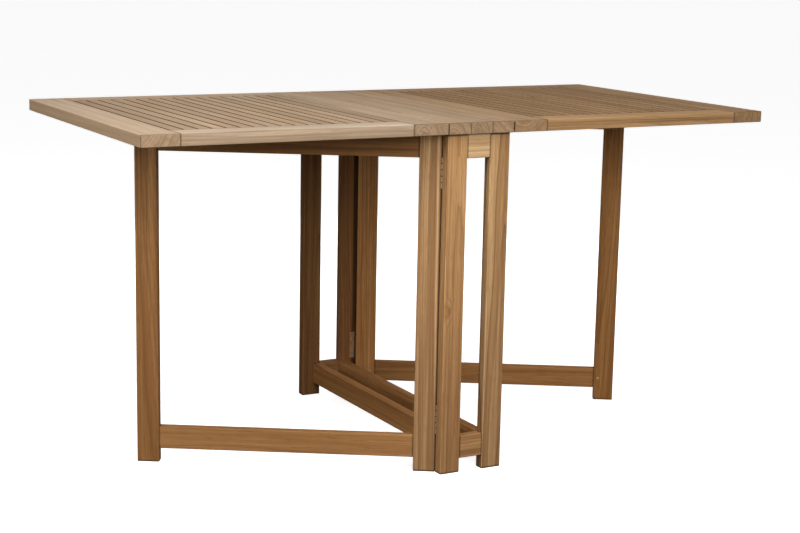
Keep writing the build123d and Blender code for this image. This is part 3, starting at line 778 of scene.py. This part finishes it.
class TABLE_OT_gate_rails(bpy.types.Operator):
    """Teak for the rails of both gates"""

    bl_idname = "garden_table.gate_rails"
    bl_label = "Gate rails"

    def execute(self, context):
        teak_boards(
            # This rail stands in the shade under the left leaf; part of its darkness is painted
            # shade.
            ("left_gate_top_rail", "y", {"tone": 0.58, "warmth": 0.5}),
            ("left_gate_bottom_rail", "y", {"tone": 1.0, "warmth": 0.2}),
            ("right_gate_top_rail", "y", {"tone": 0.95, "warmth": 0.2}),
            ("right_gate_bottom_rail", "y", {"tone": 1.2, "warmth": 0.3}),
        )
        return {"FINISHED"}


class TABLE_OT_pegs(bpy.types.Operator):
    """Pale end grain for the pegs of the joints"""

    bl_idname = "garden_table.pegs"
    bl_label = "Pegs"

    def execute(self, context):
        for node in frame["nodes"]:
            if node.endswith("pegs"):
                dress(node, peg_end(node))
        return {"FINISHED"}


class TABLE_OT_hinges(bpy.types.Operator):
    """Dulled brass for the hinge plates and pins"""

    bl_idname = "garden_table.hinges"
    bl_label = "Hinges"

    def execute(self, context):
        look = context.scene.table_fittings
        for node in frame["nodes"]:
            if node.endswith("plates") or node.endswith("pins"):
                knuckle = look.knuckle if "gate" in node else None
                brass, tarnish = (*look.brass, 1.0), (*look.tarnish, 1.0)
                dress(node, metal(node, brass, tarnish, plate_lines, knuckle))
        return {"FINISHED"}


class TABLE_OT_screws(bpy.types.Operator):
    """Steel for the screws"""

    bl_idname = "garden_table.screws"
    bl_label = "Screws"

    def execute(self, context):
        look = context.scene.table_fittings
        for node in frame["nodes"]:
            if node.endswith("screws"):
                film = toned(look.steel, steel_film)
                dress(node, metal(node, (*look.steel, 1.0), film, screw_lines))
        return {"FINISHED"}


def floor_finish():
    """A pale floor with a glow of its own."""
    look = bpy.context.scene.table_stage
    ground = new_finish("floor")
    place = ground.node("ShaderNodeTexCoord", None, None, "Object")
    cloud = ground.noise(place, (1.2, 1.2, 1.2), 3.0)
    colour = ground.blend(cloud, (*look.floor, 1.0), toned(look.floor, 0.985))
    return ground.surface(Base_Color=colour, Roughness=0.85 + cloud * 0.1, Specular_IOR_Level=0.2,
                          Emission_Color=(1.0, 1.0, 1.0, 1.0), Emission_Strength=look.floor_glow)


def backdrop(look):
    """A pale wall all round, which gives the room its colour and lights nothing."""
    sides = backdrop_sides
    turns = [math.tau * i / sides for i in range(sides)]
    rim = [(floor_reach * math.cos(turn), floor_reach * math.sin(turn)) for turn in turns]
    spots = [(x, y, z) for z in (backdrop_foot, floor_reach) for x, y in rim]
    faces = [(i, (i + 1) % sides, sides + (i + 1) % sides, sides + i) for i in range(sides)]
    mesh = bpy.data.meshes.new("backdrop")
    mesh.from_pydata(spots, [], faces)
    wall = bpy.data.objects.new("backdrop", mesh)
    paint = new_finish("backdrop")
    glow = paint.node("ShaderNodeEmission", None, {"Color": (*look.backdrop, 1.0), "Strength": 1.0})
    mesh.materials.append(paint.close(glow, "ShaderNodeOutputMaterial"))
    for ray in ("diffuse", "glossy", "shadow", "transmission"):
        setattr(wall, "visible_" + ray, False)
    bpy.context.scene.collection.objects.link(wall)


def room(look):
    """A faint even light from all round."""
    glow = Finish(bpy.data.worlds.new("room"))
    shine = glow.node("ShaderNodeBackground", None, {
        "Color": (1.0, 1.0, 1.0, 1.0), "Strength": look.room})
    return glow.close(shine, "ShaderNodeOutputWorld")


def aimed(name, lamp, place, target):
    """Put a lamp in its place, facing a target."""
    light = bpy.data.objects.new(name, lamp)
    light.rotation_mode = "QUATERNION"
    light.rotation_quaternion = (Vector(place) - Vector(target)).to_track_quat("Z", "Y")
    light.location = place
    bpy.context.scene.collection.objects.link(light)
    return light


def soft_lamp(name, energy, size, place, shine):
    """A square soft lamp that faces the middle of the table, with or without a reflection."""
    lamp = bpy.data.lights.new(name, "AREA")
    lamp.energy = energy
    lamp.size = size
    aimed(name, lamp, place, lamp_target).visible_glossy = shine


def wide_light(name, energy, azimuth, elevation, spread):
    """A soft distant light; azimuth 0 shines along +Y and 90 along -X."""
    lamp = bpy.data.lights.new(name, "SUN")
    lamp.energy = energy
    lamp.angle = math.radians(spread)
    turn, lift = math.radians(azimuth), math.radians(elevation)
    source = Vector((math.sin(turn) * math.cos(lift), -math.cos(turn) * math.cos(lift),
                     math.sin(lift)))
    aimed(name, lamp, source * wide_light_distance, (0, 0, 0))


class TABLE_OT_stage(bpy.types.Operator):
    """Pale floor, soft light and the camera"""

    bl_idname = "garden_table.stage"
    bl_label = "Floor, light and camera"

    def execute(self, context):
        look = context.scene.table_stage
        mesh = bpy.data.meshes.new("floor")
        corners = [(x * floor_reach, y * floor_reach, 0)
                   for x, y in ((-1, -1), (1, -1), (1, 1), (-1, 1))]
        mesh.from_pydata(corners, [], [(0, 1, 2, 3)])
        floor = bpy.data.objects.new("floor", mesh)
        floor.location = (0, 0, -floor_drop)
        mesh.materials.append(floor_finish())
        context.scene.collection.objects.link(floor)

        floor.visible_diffuse = False
        floor.visible_glossy = False
        backdrop(look)

        for name, (setting, place, shine) in soft_lamps.items():
            soft_lamp(name, getattr(look, setting), look.lamp_size, place, shine)
        for name, (setting, *direction) in wide_lights.items():
            wide_light(name, getattr(look, setting), *direction)
        context.scene.world = room(look)
        context.scene.view_settings.view_transform = "Standard"

        eye = bpy.data.cameras.new("camera")
        eye.lens = look.lens
        eye.sensor_width = sensor_width
        camera = bpy.data.objects.new("camera", eye)
        camera.location = camera_place
        camera.rotation_euler = Euler([math.radians(angle) for angle in camera_angles], "XYZ")
        context.scene.collection.objects.link(camera)
        context.scene.camera = camera
        return {"FINISHED"}


class TABLE_PT_panel(bpy.types.Panel):
    """Settings and steps of the garden table"""

    bl_idname = "TABLE_PT_panel"
    bl_label = "Garden Table"
    bl_space_type = "VIEW_3D"
    bl_region_type = "UI"
    bl_category = "Garden Table"

    def draw(self, context):
        scene = context.scene
        for group in (scene.table_teak, scene.table_fittings, scene.table_stage):
            box = self.layout.box()
            for name in group.__annotations__:
                box.prop(group, name)
        for step in steps:
            self.layout.operator(step.bl_idname)


steps = (TABLE_OT_centre_legs, TABLE_OT_frame_rails, TABLE_OT_centre_boards, TABLE_OT_leaf_stiles,
         TABLE_OT_leaf_rails, TABLE_OT_slats, TABLE_OT_leaf_undersides, TABLE_OT_gate_posts,
         TABLE_OT_gate_rails, TABLE_OT_pegs, TABLE_OT_hinges, TABLE_OT_screws, TABLE_OT_stage)
settings = {"table_teak": TeakSettings, "table_fittings": FittingSettings,
            "table_stage": StageSettings}


def register():
    for group in settings.values():
        bpy.utils.register_class(group)
    for name, group in settings.items():
        setattr(bpy.types.Scene, name, PointerProperty(type=group))
    for step in steps:
        bpy.utils.register_class(step)
    bpy.utils.register_class(TABLE_PT_panel)


def unregister():
    bpy.utils.unregister_class(TABLE_PT_panel)
    for step in reversed(steps):
        bpy.utils.unregister_class(step)
    for name in settings:
        delattr(bpy.types.Scene, name)
    for group in settings.values():
        bpy.utils.unregister_class(group)


def main():
    register()
    for step in steps:
        area, name = step.bl_idname.split(".")
        getattr(getattr(bpy.ops, area), name)()


if __name__ == "__main__":
    main()
